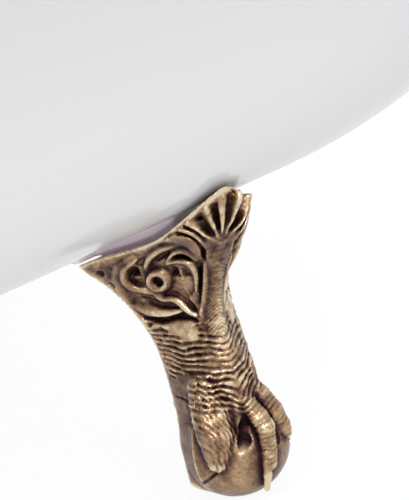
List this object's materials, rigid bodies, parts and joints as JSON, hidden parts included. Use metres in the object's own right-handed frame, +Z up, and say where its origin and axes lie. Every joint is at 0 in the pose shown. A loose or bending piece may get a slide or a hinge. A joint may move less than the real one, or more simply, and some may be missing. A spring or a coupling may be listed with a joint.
{
  "type": "clawfoot bathtub",
  "caption": "Free-standing bathtub with a rolled rim and a sloped head end on claw-and-ball feet, with its lift-and-turn drain stopper, overflow and waste pipes.",
  "frame": {"origin": "on the floor under the middle of the rim", "axes": "+Z up, +X along the bath from the drain end to the sloped head end, Y across the bath"},
  "size_m": [1.525, 0.76, 0.6],
  "materials": {
    "enamel": "white vitreous enamel, glossy, over cast iron",
    "foot_brass": "cast, antiqued dark in the hollows and rubbed bright on the high places",
    "trim_brass": "satin",
    "pipe_brass": "drawn and cast, dulled",
    "steel": "zinc plated",
    "rubber": "matt black"
  },
  "bodies": {
    "bath": {"tub_shell": "enamel", "foot_head_front": "foot_brass", "foot_head_back": "foot_brass", "foot_drain_front": "foot_brass", "foot_drain_back": "foot_brass", "foot_studs": "steel", "foot_washers": "steel", "foot_nuts": "steel", "drain_flange": "trim_brass", "flange_seal": "rubber", "drain_gasket": "rubber", "drain_shoe": "pipe_brass", "stopper_post": "trim_brass", "overflow_plate": "trim_brass", "overflow_screw": "trim_brass", "overflow_gasket": "rubber", "overflow_elbow": "pipe_brass", "overflow_pipe": "pipe_brass", "waste_tee": "pipe_brass", "tailpiece": "pipe_brass", "slip_nuts": "pipe_brass", "slip_washers": "rubber"},
    "stopper_slide": {"stopper_sleeve": "trim_brass"},
    "stopper": {"stopper_cap": "trim_brass", "stopper_seal": "rubber", "stopper_knob": "trim_brass"}
  },
  "joints": [
    {"name": "stopper_lift", "type": "slide", "parent": "bath", "child": "stopper_slide", "axis": [0, 0, 1], "range_m": [0, 0.008]},
    {"name": "stopper_turn", "type": "hinge", "parent": "stopper_slide", "child": "stopper", "pos_m": [-0.455, 0, 0.172], "axis": [0, 0, 1], "range_deg": [0, 90]}
  ]
}
